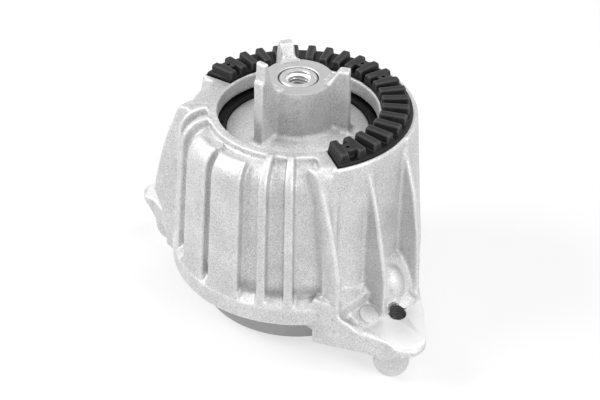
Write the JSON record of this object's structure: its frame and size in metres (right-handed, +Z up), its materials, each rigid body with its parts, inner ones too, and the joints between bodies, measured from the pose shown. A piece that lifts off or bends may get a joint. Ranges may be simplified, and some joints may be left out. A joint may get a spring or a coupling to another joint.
{
  "type": "engine mount",
  "caption": "Hydraulic engine mount: ribbed cast aluminium housing with feet, finned core and toothed rubber buffers.",
  "frame": {"origin": "centre of the pan's flat bottom", "axes": "+Z up along the core thread; +X towards the right foot as the picture shows it; -Y towards the broad panels"},
  "size_m": [0.2012, 0.1321, 0.1495],
  "materials": {
    "cast_aluminium": "cast, fine grain",
    "steel": "turned",
    "rubber": "matte",
    "pan_metal": "smooth grey"
  },
  "bodies": {
    "root": {"housing": "cast_aluminium", "core": "cast_aluminium", "core_insert": "steel", "buffer_right": "rubber", "buffer_left": "rubber", "stop_ring": "rubber", "main_spring": "rubber", "spring_ring": "cast_aluminium", "track_plate_upper": "cast_aluminium", "track_plate_lower": "cast_aluminium", "decoupler": "rubber", "diaphragm": "rubber", "diaphragm_ring": "steel", "base_pan": "pan_metal"}
  },
  "joints": []
}
